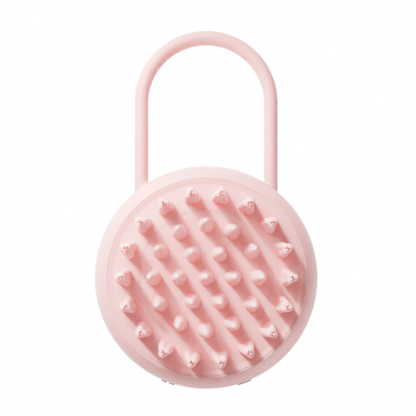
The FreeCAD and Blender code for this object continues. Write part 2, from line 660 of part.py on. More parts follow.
def make_bristle_disc():
    """Swinging silicone disc with its cone bristles in two rows about one in the middle."""
    body = turned("bristle_disc", [("0", "shelf_height"), ("disc_radius", "shelf_height"),
                                   ("disc_radius", "face_height"), ("0", "face_height")])
    for name, row, count in (("middle", "0", 1), ("inner", "inner_row", INNER_CONES),
                             ("outer", "outer_row", OUTER_CONES)):
        sketch = new_sketch(body, "XZ_Plane", name + "_cone_profile")
        cone_profile(sketch, row)
        axis = "V_Axis"
        if row != "0":
            foot = FreeCAD.Vector(value(row), 0, 0)
            tip = FreeCAD.Vector(value(row), value("tip_height"), 0)
            line = sketch.addGeometry(Part.LineSegment(foot, tip), True)
            hold(sketch, line, 1, (row, "0"))
            hold(sketch, line, 2, (row, "tip_height"))
            axis = "Axis0"
        cone = body.newObject("PartDesign::Revolution", name + "_cone")
        cone.Profile = sketch
        cone.ReferenceAxis = (sketch, [axis])
        cone.Angle = 360
        doc.recompute()
        if count > 1:
            repeat_round(body, cone, count)
    return node(body, "bristle_disc")


def make_case_fittings():
    """Gasket between the shells, and the screws that hold them."""
    gasket = ring("case_gasket", "gasket_inner", "inner_radius",
                  "split_height - gasket_set - gasket_height", "split_height - gasket_set")
    node(gasket, "case_gasket")
    screws = [screw("case_screw", place, "head_seat", "screw_radius", "screw_length", "screw_head_radius",
                    "screw_head_height") for place in case_screw_places]
    node(group("case_screws", screws), "case_screws")


def make_loop_handle():
    """Bent rod with its pins, and the grommets where it enters the shell."""
    bow = doc.addObject("Part::Torus", "loop_bow")
    bow.Angle3 = 180
    bind(bow, "Radius1", "loop_offset")
    bind(bow, "Radius2", "loop_radius")
    put(bow, ("0", "loop_bow", "loop_height"))
    rods = [cylinder("leg_" + side, "loop_radius", "loop_bow - leg_end", (x, "leg_end", "loop_height"), "Y")
            for side, x in legs]
    loop = fused("loop_rod", [bow] + rods)
    holes = [cylinder("leg_hole_" + side, "pin_radius + fit_play", "4 * loop_radius",
                      (x, "pin_row", "loop_height - 2 * loop_radius")) for side, x in legs]
    node(cut("loop_handle", loop, holes), "loop_handle")
    pins = [cylinder("pin_" + side, "pin_radius", "pin_top - pin_bottom", (x, "pin_row", "pin_bottom"))
            for side, x in legs]
    node(group("handle_pins", pins), "handle_pins")
    form = body_form("grommet_form", "grommet_proud")
    rings = []
    for side, x in legs:
        place = (x, "leg_end + saddle_length", "loop_height")
        outer = cylinder("grommet_out_" + side, "loop_radius + grommet_wall", "body_radius / 2", place, "Y")
        inner = cylinder("grommet_in_" + side, "loop_radius", "body_radius / 2", place, "Y")
        sleeve = cut("grommet_sleeve_" + side, outer, [inner])
        rings.append(shared("grommet_" + side, sleeve, form))
    node(group("leg_grommets", rings), "leg_grommets")


def make_motor():
    """Swinging motor: can, lid, coil, bushes, magnet and shaft, in a rubber cup and under a rubber ring."""
    can = turned("motor_can", [("bush_radius", "motor_bottom"), ("motor_radius", "motor_bottom"),
                               ("motor_radius", "motor_top"), ("motor_bore", "motor_top"),
                               ("motor_bore", "motor_bottom + motor_wall"),
                               ("bush_radius", "motor_bottom + motor_wall")])
    node(can, "motor_can")
    node(ring("motor_lid", "bush_radius", "motor_bore", "motor_top - motor_lid_thickness", "motor_top"),
         "motor_lid")
    bushes = [ring("lower_bush", "shaft_radius + shaft_play", "bush_radius", "motor_bottom",
                   "motor_bottom + bush_length"),
              ring("upper_bush", "shaft_radius + shaft_play", "bush_radius", "motor_top - bush_length",
                   "motor_top")]
    node(group("motor_bushes", bushes), "motor_bushes")
    node(ring("stator_coil", "coil_radius", "motor_bore", "coil_bottom", "coil_top"), "stator_coil")
    node(ring("rotor_magnet", "shaft_radius", "magnet_radius", "coil_bottom + magnet_margin",
              "coil_top - magnet_margin"), "rotor_magnet")
    shaft = cylinder("shaft_rod", "shaft_radius", "hub_seat - motor_bottom - shaft_tail",
                     ("0", "0", "motor_bottom + shaft_tail"))
    tapped = cylinder("shaft_hole", "hub_screw_radius + fit_play", "hub_screw_length",
                      ("0", "0", "hub_seat - hub_screw_length"))
    node(cut("motor_shaft", shaft, [tapped]), "motor_shaft")
    sleeve = turned("motor_sleeve", [("0", "cup_bottom"), ("cup_radius", "cup_bottom"),
                                     ("cup_radius", "cup_top"), ("motor_radius", "cup_top"),
                                     ("motor_radius", "motor_bottom"), ("0", "motor_bottom")])
    node(sleeve, "motor_sleeve")
    node(ring("motor_cushion", "motor_radius - cushion_width", "motor_radius", "motor_top", "split_height"),
         "motor_cushion")
    node(ring("shaft_seal", "shaft_radius + shaft_play", "seal_radius", "split_height", "well_floor"),
         "shaft_seal")


def make_drive_plate():
    """Plate that swings the bristle disc, held on the shaft by a screw."""
    plate_radius = "disc_radius - plate_inset"
    plate = turned("drive_plate", [
        ("shaft_radius", "hub_bottom"), ("hub_radius", "hub_bottom"), ("hub_radius", "plate_bottom"),
        (plate_radius, "plate_bottom"), (plate_radius, "shelf_height"), ("hub_head_radius", "shelf_height"),
        ("hub_head_radius", "hub_seat"), ("shaft_radius", "hub_seat")])
    node(plate, "drive_plate")
    node(screw("hub_screw", ("0", "0"), "hub_seat", "hub_screw_radius", "hub_screw_length - fit_play",
               "hub_head_radius - fit_play", "hub_head_height"), "hub_screw")


def make_battery():
    """Cell on its foam pad, under a strap with two screws, and its leads."""
    half, far = "battery_half", "battery_far"
    node(block("battery_cell", (f"-{half}", "battery_near", "battery_bottom"), (half, far, "battery_top")),
         "battery_cell")
    inset = "battery_pad_inset"
    node(block("battery_pad", (f"{inset} - {half}", f"battery_near + {inset}", "shell_wall"),
               (f"{half} - {inset}", f"{far} - {inset}", "battery_bottom")), "battery_pad")
    near, away = "strap_near", "strap_near + bracket_width"
    foot_top = "bracket_foot_height + bracket_thickness"
    strap = [block("strap_top", ("-strap_outside", near, "battery_top"),
                   ("strap_outside", away, "battery_top + bracket_thickness"))]
    for side, inside, foot in (("left", "-strap_outside", "-strap_outside - bracket_foot"),
                               ("right", "strap_inside", "strap_inside")):
        strap.append(block("strap_leg_" + side, (inside, near, "bracket_foot_height"),
                           (f"{inside} + bracket_thickness", away, "battery_top + bracket_thickness")))
        strap.append(block("strap_foot_" + side, (foot, near, "bracket_foot_height"),
                           (f"{foot} + bracket_foot + bracket_thickness", away, foot_top)))
    holes = [cylinder("strap_hole", "small_screw_radius + fit_play", "2 * bracket_thickness",
                      (x, y, "bracket_foot_height")) for x, y in strap_screw_places]
    node(cut("battery_bracket", fused("strap_plain", strap), holes), "battery_bracket")
    screws = [screw("strap_screw", place, foot_top, "small_screw_radius", "small_screw_length",
                    "small_head_radius", "small_head_height") for place in strap_screw_places]
    node(group("bracket_screws", screws), "bracket_screws")
    leads = []
    for number in range(2):
        step = f"{number} * lead_pitch"
        row = f"battery_near + lead_pitch / 2 + {step}"
        column = f"-(battery_lead_side + {step})"
        run = cylinder("lead_run", "lead_radius", f"lead_run + {step}",
                       (f"-({half} + lead_run + {step})", row, "lead_height"), "X")
        bend = doc.addObject("Part::Torus", "lead_bend")
        bend.Angle3 = 90
        bend.Placement = FreeCAD.Placement(FreeCAD.Vector(), FreeCAD.Rotation(AXES["Z"], 90))
        bind(bend, "Radius1", "lead_bend")
        bind(bend, "Radius2", "lead_radius")
        put(bend, (f"{column} + lead_bend", f"{row} - lead_bend", "lead_height"))
        drop = cylinder("lead_length", "lead_radius", f"{row} - lead_bend + board_near",
                        (column, "-board_near", "lead_height"), "Y")
        leads.append(fused("battery_lead", [run, bend, drop]))
    node(group("battery_leads", leads), "battery_leads")


def make_board():
    """Circuit board with its screws, chip, lead sockets and switches."""
    corners = [("board_half_width", "-board_near"), ("-board_half_width", "-board_near"),
               ("-board_half_width", "-board_corner"), ("board_half_width", "-board_corner")]
    plain = padded("board_plain", "XY_Plane", corners, "board_bottom", "board_thickness", {2: ("0", "0")})
    holes = [cylinder("board_hole", "small_screw_radius + fit_play", "2 * board_thickness",
                      (x, y, "board_bottom")) for x, y in board_screw_places]
    holes += [cylinder("board_relief", "boss_radius + boss_clearance", "2 * board_thickness",
                       (x, y, "board_bottom")) for x, y in case_screw_places]
    node(cut("circuit_board", plain, holes), "circuit_board")
    screws = [screw("board_screw", place, "board_top", "small_screw_radius",
                    "small_screw_length + board_thickness", "small_head_radius", "small_head_height")
              for place in board_screw_places]
    node(group("board_screws", screws), "board_screws")
    node(block("control_chip", ("-chip_size / 2", "-chip_row - chip_size / 2", "board_top"),
               ("chip_size / 2", "-chip_row + chip_size / 2", "board_top + chip_height")), "control_chip")
    for name, middle in (("battery_socket", "-(battery_lead_side + lead_pitch / 2)"), ("motor_socket", "0")):
        node(block(name, (f"{middle} - socket_width / 2", "-board_near - socket_length", "socket_bottom"),
                   (f"{middle} + socket_width / 2", "-board_near", "board_bottom")), name)
    leads = []
    for side in (-1, 1):
        lead = cylinder("motor_lead_rod", "lead_radius", "board_near - motor_bore",
                        (f"{side} * lead_pitch / 2", "-board_near", "lead_height"), "Y")
        can = cylinder("can_outside", "motor_radius", "motor_length", ("0", "0", "motor_bottom"))
        leads.append(cut("motor_lead", lead, [can]))
    node(group("motor_leads", leads), "motor_leads")


def make_buttons():
    """Three side buttons, each with its switch and the plunger that it pushes."""
    form = body_form("button_form", "button_proud")
    for name, angle, side, width in BUTTONS:
        bar = rounded_bar(name + "_bar", side, width, "0", "flange_inside", "body_radius + shell_wall")
        cap = shared(name + "_cap", bar, form)
        flange = block(name + "_flange",
                       ("flange_inside", f"{side} - {width} / 2 - flange_side",
                        "button_middle - button_height / 2 - flange_rise"),
                       ("flange_outside", f"{side} + {width} / 2 + flange_side",
                        "button_middle + button_height / 2 + flange_rise"))
        node(faced(fused(name + "_button", [cap, flange]), angle), name + "_button")
        plunger = cylinder(name + "_pin", "plunger_radius", "plunger_length",
                           ("plunger_end", side, "button_middle"), "X")
        node(faced(group(name + "_plunger", [plunger]), angle), name + "_plunger")
        across = "(level_width / 2 + switch_wall)"
        box = block(name + "_switch_box", ("switch_back", f"{side} - {across}", "board_top"),
                    ("switch_front", f"{side} + {across}", "button_middle + switch_rise"))
        bore = cylinder(name + "_switch_bore", "plunger_radius + plunger_play", "plunger_length",
                        ("plunger_end - button_travel - switch_gap", side, "button_middle"), "X")
        node(faced(cut(name + "_switch", box, [bore]), angle), name + "_switch")


def make_charging():
    """Charging pins through the back, up to the board, and the magnets that dock the charger."""
    pins = []
    for x, y in charge_places:
        face = cylinder("charge_face", "charge_radius", "shell_wall - charge_recess", (x, y, "charge_recess"))
        flange = cylinder("charge_flange", "charge_flange", "charge_flange_height", (x, y, "shell_wall"))
        stem = cylinder("charge_stem", "charge_stem", "board_bottom - shell_wall", (x, y, "shell_wall"))
        pins.append(fused("charge_pin", [face, flange, stem]))
    node(group("charge_pins", pins), "charge_pins")
    magnets = [cylinder("dock_magnet", "dock_magnet_radius", "dock_magnet_height",
                        (f"{side} * dock_magnet_side", "-charge_row", "shell_wall")) for side in (-1, 1)]
    node(group("dock_magnets", magnets), "dock_magnets")


make_rear_shell()
make_front_shell()
make_bristle_ring()
make_bristle_disc()
make_case_fittings()
make_loop_handle()
make_motor()
make_drive_plate()
make_battery()
make_board()
make_buttons()
make_charging()
doc.recompute()

failed = [item.Label for item in doc.Objects if "Invalid" in item.State or "Error" in item.State]
failed += [item.Label for item in NODES if item.Shape.isNull() or not item.Shape.isValid()]
if failed:
    raise RuntimeError("not built: " + ", ".join(failed))
os.makedirs("parts", exist_ok=True)
for item in NODES:
    item.Shape.exportStep(f"parts/{item.Label}.step")
    print(f"{item.Label}: {len(item.Shape.Solids)} solid(s), {item.Shape.Volume:.1f} mm3")
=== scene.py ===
import json
import math

import bmesh
import bpy
from mathutils import Matrix, Vector


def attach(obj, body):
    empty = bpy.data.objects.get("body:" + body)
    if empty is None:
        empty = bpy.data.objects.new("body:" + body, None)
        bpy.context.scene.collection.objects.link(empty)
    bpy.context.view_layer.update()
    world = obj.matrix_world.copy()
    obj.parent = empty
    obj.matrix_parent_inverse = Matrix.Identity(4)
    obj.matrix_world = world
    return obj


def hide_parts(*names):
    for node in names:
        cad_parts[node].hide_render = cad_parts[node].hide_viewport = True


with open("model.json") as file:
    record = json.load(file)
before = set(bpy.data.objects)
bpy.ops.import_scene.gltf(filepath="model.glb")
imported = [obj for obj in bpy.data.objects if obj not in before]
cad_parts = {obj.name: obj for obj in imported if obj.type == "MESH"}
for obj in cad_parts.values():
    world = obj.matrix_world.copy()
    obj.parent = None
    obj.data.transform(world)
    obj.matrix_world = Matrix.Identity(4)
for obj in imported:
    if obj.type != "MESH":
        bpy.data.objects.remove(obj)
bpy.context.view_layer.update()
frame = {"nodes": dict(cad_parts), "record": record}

# Sizes are in millimetres and angles in degrees.
# The stage, the lights and the camera's place are in metres.
MM = 0.001
UP = Vector((0, 0, 1))

# Round body
BODY_RADIUS = 43.0
BACK_ROUND = 15.0
FLAT_RADIUS = BODY_RADIUS - BACK_ROUND
WALL = 2.2
RIM_WALL = 1.8
LIP_RADIUS = 36.6
LIP_INNER = 36.12
LIP_FILLET = 0.6
LIP_HEIGHT = BACK_ROUND + math.sqrt(BACK_ROUND ** 2 - (LIP_RADIUS - FLAT_RADIUS) ** 2)
FACE_DROP = 0.6
FACE_HEIGHT = LIP_HEIGHT - FACE_DROP
PAD_DEPTH = 2.1
SHELF_HEIGHT = FACE_HEIGHT - PAD_DEPTH
WELL_RADIUS = 25.05
WELL_OUTSIDE = 26.85
WELL_DEPTH = 3.3
WELL_FLOOR = SHELF_HEIGHT - WELL_DEPTH
SHAFT_HOLE = 4.6
SPLIT_HEIGHT = WELL_FLOOR - RIM_WALL
SPLIT_GROOVE = 0.06
GROOVE_RADIUS = 41.9
TONGUE_OUTER = 40.65
TONGUE_INNER = 38.55
TONGUE_DEPTH = 1.8
CONTACT_HOLE = 1.55
CONTACT_SIDE = 3.3
CONTACT_ROW = -19.75
HOLE_OVER = 1.0

# Silicone face
DISC_RADIUS = 24.3
DISC_SLOPE = 1.5
DISC_EDGE_DEPTH = 0.8
RING_INNER = 24.6
RING_OUTER = 36.05
RING_EDGE_DEPTH = 0.5
RING_EDGE_FOOT = 0.6
RING_CHAMFER = 0.04
BAND_INNER = 34.3
BAND_OUTER = 35.75
BAND_RISE = 0.45
BAND_CREASE = 0.1
PAD_STEP = 0.12
SLIT = 0.005
SEAM = 0.015

# Bristles
BRISTLE_LENGTH = 15.8
BRISTLE_ROOT = 0.5
FOOT_FILLET = 0.25
CONE_RADIUS = 2.91
CONE_TIP = 0.72
# Radius of each row of cones and their number in it
CONE_ROWS = ((9.98, 6), (19.34, 12))
TREFOIL_COUNT = 18
TREFOIL_LOBES = 3
TREFOIL_PITCH = 360 / TREFOIL_LOBES
TREFOIL_ROW = 30.125
TREFOIL_SPREAD = 1.65
TREFOIL_LOBE = 1.75
TREFOIL_SIDE = 2.38
TREFOIL_TAPER = 0.6
TREFOIL_ROUND = 0.6
TREFOIL_LEAN = 0.65
PRONG_LENGTH = 1.6
PRONG_RADIUS = 0.46
PRONG_SPREAD = 0.66
TREFOIL_TOP = BRISTLE_LENGTH - PRONG_LENGTH

# Loop and buttons
LOOP_OFFSET = 25.3
LOOP_BOW = 68.28
LOOP_RADIUS = 2.7
LOOP_HEIGHT = 13.5
LEG_END = 25.7
LEG_PLAY = 0.06
FLARE_ROUND = 1.0
FLARE_PROBE = 0.5
FLARE_INSIDE = 0.15
FLARE_ROOT = 1.2
FLARE_FOOT = 1.0
BUTTON_MIDDLE = 14.6
BUTTON_TALL = 6.0
BUTTON_CORNER = 1.0
BUTTON_PROUD = 0.5
BUTTON_PLAY = 0.12
BUTTON_BACK = 39.1
BUTTON_OVER = 2.0
SKIN_HALF = 4.0
SKIN_INNER = 30.0
# Name, turn round the axis, place beside that direction and width
BUTTONS = (("power", 290, 0.0, 5.8), ("plus", 250, 1.575, 2.4), ("minus", 250, -1.575, 2.4))

# Facets of rounded forms
BODY_FACETS = 192
LIP_FACETS = 8
RIM_FACETS = 40
BACK_FACETS = 64
INSIDE_FACETS = 24
CONE_FACETS = 40
FOOT_FACETS = 5
TIP_FACETS = 6
TREFOIL_FACETS = 72
TREFOIL_FOOT_TURNS = (20, 40, 60, 80)
TREFOIL_LEVELS = 6
TREFOIL_TOP_TURNS = (22, 45, 68, 90)
PRONG_FACETS = 20
PRONG_RINGS = 14
LOOP_FACETS = 40
BOW_FACETS = 72
FLARE_FACETS = 64
FLARE_RINGS = 8
HOLE_FACETS = 32
CORNER_FACETS = 6
SKIN_FACETS = 32

# Edges sharper than these stay sharp
SHARP = 35
SHARP_BRISTLES = 40
SHARP_FLARE = 60

# Points that meet and faces without area, in metres, and the least share of an edge along a direction
MEET = 2e-6
NO_AREA = 1e-7
ALONG = 0.9

# Looks
# Painted highlight along the crest of the shell's lip: its half width and half depth
LIP_HIGHLIGHT = 0.3
LIP_HIGHLIGHT_DEPTH = 1.5
# Height over which painted fill light rises up the bristles
PAINTED_LIGHT_RISE = 1.2
# Painted shade in the gaps between each trefoil's prongs: half size of the spots, rise above the stem's top
# and half depth
GAP_SHADE_SPOT = 0.62
GAP_SHADE_RISE = 0.25
GAP_SHADE_DEPTH = 0.3
WHOLE_RING = 200.0
GRAIN_DEPTH = 0.1
GRAIN_DETAIL = 2
CLOUD_DETAIL = 3
CLOUD_LOW = 0.3
CLOUD_HIGH = 0.7
GLOW_SPREAD = (1.0, 0.1, 0.09)

# Stage, lights and camera
FLOOR_HALF = 3.0
FLOOR_TONE = 0.9
FLOOR_GLOW = 0.09
WORLD_LIGHT = 0.112
WORLD_SHOWN_MORE = 0.85
SUN_POWER = 1.03
SUN_SPREAD = 5
SUN_TURN = 126
SUN_HEIGHT = 31
# Name, power, size, turn round the axis, distance from it and height
PANELS = (("panel", 0.0986, 0.092, 127, 0.126, 0.114), ("card", 0.0075, 0.06, -48, 0.11, 0.008))
PANEL_AIM = Vector((0, 0, 0.02))
CAMERA_HEIGHT = 0.234
CAMERA_LENS = 48.78
CAMERA_SENSOR = 36
CAMERA_SHIFT = (0.0042, 0.1672)
CAMERA_NEAR = 0.01
EXPOSURE = 2.0
HIGHLIGHT_KNEE = 0.85
HIGHLIGHT_TOP = 4.5


# Mesh helpers

def millimetres(x, y, z):
    return Vector((x, y, z)) * MM


def line_to(bm, start, x, z):
    """Draws a profile on by a straight line."""
    end = bm.verts.new(millimetres(x, 0, z))
    bm.edges.new((start, end))
    return end


def arc_to(bm, start, centre, degrees, steps):
    """Draws a profile on by an arc about a centre; positive turns from +Z to +X."""
    spun = bmesh.ops.spin(bm, geom=[start], cent=millimetres(centre[0], 0, centre[1]), axis=(0, 1, 0),
                          angle=math.radians(degrees), steps=steps, use_merge=False)
    return next(v for v in spun["geom_last"] if isinstance(v, bmesh.types.BMVert))


def lathe(bm, steps):
    """Turns the whole profile about the Z axis into a closed skin."""
    bmesh.ops.spin(bm, geom=bm.verts[:] + bm.edges[:], cent=(0, 0, 0), axis=UP,
                   angle=2 * math.pi, steps=steps, use_merge=True)
    tidy(bm)


def tidy(bm):
    """Joins points that meet, drops faces without area and turns the faces outwards."""
    bmesh.ops.remove_doubles(bm, verts=bm.verts[:], dist=MEET)
    bmesh.ops.dissolve_degenerate(bm, edges=bm.edges[:], dist=NO_AREA)
    bmesh.ops.recalc_face_normals(bm, faces=bm.faces[:])


def repeat_round(bm, geom, count):
    """Copies a piece round the Z axis."""
    bmesh.ops.spin(bm, geom=geom, cent=(0, 0, 0), axis=UP, angle=2 * math.pi * (count - 1) / count,
                   steps=count - 1, use_duplicate=True)


def extruded(bm, edges, move):
    """Draws a ring of edges out by a move and gives the new ring."""
    made = bmesh.ops.extrude_edge_only(bm, edges=edges)["geom"]
    fresh = [g for g in made if isinstance(g, bmesh.types.BMVert)]
    bmesh.ops.translate(bm, verts=fresh, vec=move)
    ends = set(fresh)
    return [g for g in made if isinstance(g, bmesh.types.BMEdge) and set(g.verts) <= ends]


def finished(bm, name, sharp=SHARP):
    """Puts a bmesh into a new object, smooth except along edges sharper than an angle."""
    mesh = bpy.data.meshes.new(name)
    bm.to_mesh(mesh)
    bm.free()
    return smoothed(mesh, name, sharp)


def smoothed(mesh, name, sharp):
    """Makes an object of a mesh, smooth except along edges sharper than an angle."""
    mesh.polygons.foreach_set("use_smooth", [True] * len(mesh.polygons))
    mesh.set_sharp_from_angle(angle=math.radians(sharp))
    piece = bpy.data.objects.new(name, mesh)
    bpy.context.collection.objects.link(piece)
    return piece


def combined(piece, tools, operation, sharp=SHARP):
    """Joins the tools to a piece or cuts them out of it, and drops the tools."""
    for tool in tools:
        step = piece.modifiers.new("combine", "BOOLEAN")
        step.operation = operation
        step.solver = "EXACT"
        step.object = tool
    name = piece.name
    seen = piece.evaluated_get(bpy.context.evaluated_depsgraph_get())
    mesh = bpy.data.meshes.new_from_object(seen)
    for old in [piece, *tools]:
        bpy.data.objects.remove(old)
    mesh.name = name
    return smoothed(mesh, name, sharp)


def evened(piece):
    """Lets the large faces of a piece rule its normals, so that flat faces look flat."""
    step = piece.modifiers.new("normals", "WEIGHTED_NORMAL")
    step.keep_sharp = True
    mesh = bpy.data.meshes.new_from_object(piece.evaluated_get(bpy.context.evaluated_depsgraph_get()))
    piece.modifiers.clear()
    mesh.name = piece.name
    piece.data = mesh


def worn(piece, body, slot, *nodes):
    """Sets a piece on its body in place of its solids, with the finish of its slot."""
    evened(piece)
    piece.data.materials.clear()
    piece.data.materials.append(FINISHES[slot])
    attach(piece, body)
    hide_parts(*nodes)


# Finishes

def link(tree, output, target):
    tree.links.new(output, target)


def math_node(tree, operation, *values):
    """Adds a sum to a node tree and gives its result."""
    node = tree.nodes.new("ShaderNodeMath")
    node.operation = operation
    for value, socket in zip(values, node.inputs):
        link(tree, value, socket)
    return node.outputs[0]


def mixed_in(material, factor, colour, blend):
    """Mixes a colour into a finish where the factor is high."""
    tree = material.node_tree
    base = tree.nodes["Principled BSDF"].inputs["Base Color"]
    mix = tree.nodes.new("ShaderNodeMix")
    mix.data_type = "RGBA"
    mix.blend_type = blend
    link(tree, factor, mix.inputs["Factor"])
    link(tree, base.links[0].from_socket, mix.inputs[6])
    mix.inputs[7].default_value = (*colour, 1)
    link(tree, mix.outputs[2], base)


def moulding_group():
    """Shared look of a moulded skin: clouded colour, uneven gloss and fine grain, on Object coordinates."""
    tree = bpy.data.node_groups.new("moulded_skin", "ShaderNodeTree")
    for socket, kind in (("Colour", "NodeSocketColor"), ("Cloud colour", "NodeSocketColor"),
                         ("Cloud size", "NodeSocketFloat"), ("Cloud share", "NodeSocketFloat"),
                         ("Grain size", "NodeSocketFloat"), ("Gloss low", "NodeSocketFloat"),
                         ("Gloss high", "NodeSocketFloat")):
        tree.interface.new_socket(socket, in_out="INPUT", socket_type=kind)
    tree.interface.new_socket("Colour", in_out="OUTPUT", socket_type="NodeSocketColor")
    tree.interface.new_socket("Roughness", in_out="OUTPUT", socket_type="NodeSocketFloat")
    tree.interface.new_socket("Height", in_out="OUTPUT", socket_type="NodeSocketFloat")
    given = tree.nodes.new("NodeGroupInput")
    out = tree.nodes.new("NodeGroupOutput")
    place = tree.nodes.new("ShaderNodeTexCoord")
    cloud = tree.nodes.new("ShaderNodeTexNoise")
    cloud.inputs["Detail"].default_value = CLOUD_DETAIL
    link(tree, place.outputs["Object"], cloud.inputs["Vector"])
    link(tree, given.outputs["Cloud size"], cloud.inputs["Scale"])
    share = math_node(tree, "MULTIPLY", cloud.outputs["Fac"], given.outputs["Cloud share"])
    mix = tree.nodes.new("ShaderNodeMix")
    mix.data_type = "RGBA"
    link(tree, share, mix.inputs["Factor"])
    link(tree, given.outputs["Colour"], mix.inputs[6])
    link(tree, given.outputs["Cloud colour"], mix.inputs[7])
    link(tree, mix.outputs[2], out.inputs["Colour"])
    gloss = tree.nodes.new("ShaderNodeMapRange")
    link(tree, cloud.outputs["Fac"], gloss.inputs["Value"])
    gloss.inputs["From Min"].default_value = CLOUD_LOW
    gloss.inputs["From Max"].default_value = CLOUD_HIGH
    link(tree, given.outputs["Gloss low"], gloss.inputs["To Min"])
    link(tree, given.outputs["Gloss high"], gloss.inputs["To Max"])
    link(tree, gloss.outputs["Result"], out.inputs["Roughness"])
    grain = tree.nodes.new("ShaderNodeTexNoise")
    grain.inputs["Detail"].default_value = GRAIN_DETAIL
    link(tree, place.outputs["Object"], grain.inputs["Vector"])
    link(tree, given.outputs["Grain size"], grain.inputs["Scale"])
    link(tree, grain.outputs["Fac"], out.inputs["Height"])
    return tree


def ring_mask_group():
    """Mask of a ring round the body's axis, or of spots on it, given by middle and half sizes, in metres.

    Pitch is half the angle from one spot to the next, in radians.
    """
    tree = bpy.data.node_groups.new("ring_mask", "ShaderNodeTree")
    for socket in ("Radius", "Half width", "Height", "Half depth", "Pitch", "Half length"):
        tree.interface.new_socket(socket, in_out="INPUT", socket_type="NodeSocketFloat")
    tree.interface.new_socket("Mask", in_out="OUTPUT", socket_type="NodeSocketFloat")
    given = tree.nodes.new("NodeGroupInput")
    out = tree.nodes.new("NodeGroupOutput")
    place = tree.nodes.new("ShaderNodeTexCoord")
    flat = tree.nodes.new("ShaderNodeVectorMath")
    flat.operation = "MULTIPLY"
    flat.inputs[1].default_value = (1, 1, 0)
    link(tree, place.outputs["Object"], flat.inputs[0])
    reach = tree.nodes.new("ShaderNodeVectorMath")
    reach.operation = "LENGTH"
    link(tree, flat.outputs["Vector"], reach.inputs[0])
    split = tree.nodes.new("ShaderNodeSeparateXYZ")
    link(tree, place.outputs["Object"], split.inputs["Vector"])
    turn = math_node(tree, "ARCTAN2", split.outputs["Y"], split.outputs["X"])
    off_spot = math_node(tree, "PINGPONG", turn, given.outputs["Pitch"])
    aside = math_node(tree, "MULTIPLY", off_spot, reach.outputs["Value"])
    mask = math_node(tree, "LESS_THAN", aside, given.outputs["Half length"])
    for value, middle, half in ((reach.outputs["Value"], "Radius", "Half width"),
                                (split.outputs["Z"], "Height", "Half depth")):
        near = math_node(tree, "COMPARE", value, given.outputs[middle], given.outputs[half])
        mask = math_node(tree, "MULTIPLY", mask, near)
    link(tree, mask, out.inputs["Mask"])
    return tree


def ringed(material, group, colour, radius, half_width, height, half_depth, spots=1, half_length=WHOLE_RING):
    """Gives a finish another colour in a ring round the body's axis, or in spots on it."""
    ring = material.node_tree.nodes.new("ShaderNodeGroup")
    ring.node_tree = group
    for socket, size in (("Radius", radius), ("Half width", half_width), ("Height", height),
                         ("Half depth", half_depth), ("Half length", half_length)):
        ring.inputs[socket].default_value = size * MM
    ring.inputs["Pitch"].default_value = math.pi / spots
    mixed_in(material, ring.outputs["Mask"], colour, "MIX")


def painted_light_upwards(material, light, low, high):
    """Paints light into a finish, growing from one height to another."""
    tree = material.node_tree
    place = tree.nodes.new("ShaderNodeTexCoord")
    split = tree.nodes.new("ShaderNodeSeparateXYZ")
    link(tree, place.outputs["Object"], split.inputs["Vector"])
    rise = tree.nodes.new("ShaderNodeMapRange")
    link(tree, split.outputs["Z"], rise.inputs["Value"])
    rise.inputs["From Min"].default_value = low * MM
    rise.inputs["From Max"].default_value = high * MM
    mixed_in(material, rise.outputs["Result"], light, "SCREEN")


def moulded(name, colour, cloud_colour, group, gloss=(0.42, 0.55), grain=4000.0, relief=0.05,
            cloud=(60.0, 0.3), metallic=0.0, glow=None):
    """Material of a moulded or plated piece. glow is the depth to which red light enters it."""
    material = bpy.data.materials.new(name)
    material.use_nodes = True
    tree = material.node_tree
    shader = tree.nodes["Principled BSDF"]
    skin = tree.nodes.new("ShaderNodeGroup")
    skin.node_tree = group
    skin.inputs["Colour"].default_value = (*colour, 1)
    skin.inputs["Cloud colour"].default_value = (*cloud_colour, 1)
    skin.inputs["Cloud size"].default_value, skin.inputs["Cloud share"].default_value = cloud
    skin.inputs["Grain size"].default_value = grain
    skin.inputs["Gloss low"].default_value, skin.inputs["Gloss high"].default_value = gloss
    bump = tree.nodes.new("ShaderNodeBump")
    bump.inputs["Strength"].default_value = relief
    bump.inputs["Distance"].default_value = GRAIN_DEPTH * MM
    link(tree, skin.outputs["Colour"], shader.inputs["Base Color"])
    link(tree, skin.outputs["Roughness"], shader.inputs["Roughness"])
    link(tree, skin.outputs["Height"], bump.inputs["Height"])
    link(tree, bump.outputs["Normal"], shader.inputs["Normal"])
    shader.inputs["Metallic"].default_value = metallic
    if glow:
        shader.subsurface_method = "BURLEY"
        shader.inputs["Subsurface Weight"].default_value = 1.0
        shader.inputs["Subsurface Radius"].default_value = GLOW_SPREAD
        shader.inputs["Subsurface Scale"].default_value = glow * MM
    return material


